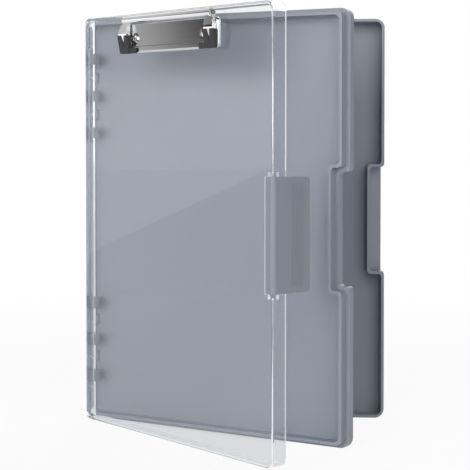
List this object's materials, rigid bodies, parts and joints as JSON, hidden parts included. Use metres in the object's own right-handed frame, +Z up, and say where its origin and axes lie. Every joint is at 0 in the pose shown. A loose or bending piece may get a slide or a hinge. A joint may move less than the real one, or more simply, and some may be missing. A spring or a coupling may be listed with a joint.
{
  "type": "storage clipboard box",
  "caption": "Side-opening storage clipboard with two nested trays on snap hinges, a clear lid with a sprung metal clip, and a wrap-round latch",
  "frame": {"origin": "middle of the rear tray's lower edge, where the standing box rests, halfway between the tray's back face and its rim", "axes": "+Z up along the long edges, +X across the rear tray from the hinge edge to the free edge, -Y forward, the way the leaves open"},
  "size_m": [0.2575, 0.2172, 0.345],
  "materials": {
    "grey_plastic": "satin, fine moulded grain",
    "clear_plastic": "clear, polished",
    "latch_plastic": "satin",
    "brushed_steel": "brushed",
    "bright_steel": "bright plated",
    "rivet_steel": "satin",
    "rubber": "dull"
  },
  "bodies": {
    "rear": {"rear_tray": "grey_plastic"},
    "middle": {"middle_tray": "grey_plastic"},
    "lid": {"clear_lid": "clear_plastic", "clip_base_plate": "brushed_steel", "clip_rod": "rivet_steel", "clip_spring_left": "rivet_steel", "clip_spring_right": "rivet_steel", "clip_rivets": "rivet_steel", "rivet_washers": "rivet_steel"},
    "latch": {"latch": "latch_plastic"},
    "jaw": {"clip_jaw": "bright_steel", "clip_grip_left": "rubber", "clip_grip_right": "rubber"}
  },
  "joints": [
    {"name": "middle_swing", "type": "hinge", "parent": "rear", "child": "middle", "pos_m": [-0.1238, -0.01165, 0.1725], "axis": [0, 0, -1], "range_deg": [-28.25, 76.75]},
    {"name": "lid_swing", "type": "hinge", "parent": "middle", "child": "lid", "pos_m": [-0.12629, -0.02473, 0.1725], "axis": [0, 0, -1], "range_deg": [-19.13, 160.87]},
    {"name": "latch_swing", "type": "hinge", "parent": "lid", "child": "latch", "pos_m": [0.03698, -0.20363, 0.1725], "axis": [0, 0, -1], "range_deg": [0, 100]},
    {"name": "jaw_lift", "type": "hinge", "parent": "lid", "child": "jaw", "pos_m": [-0.05037, -0.12067, 0.3396], "axis": [-0.6771, 0.7359, 0], "range_deg": [0, 40], "stiffness_Nm_per_rad": 0.35, "springref_deg": -22.92}
  ]
}
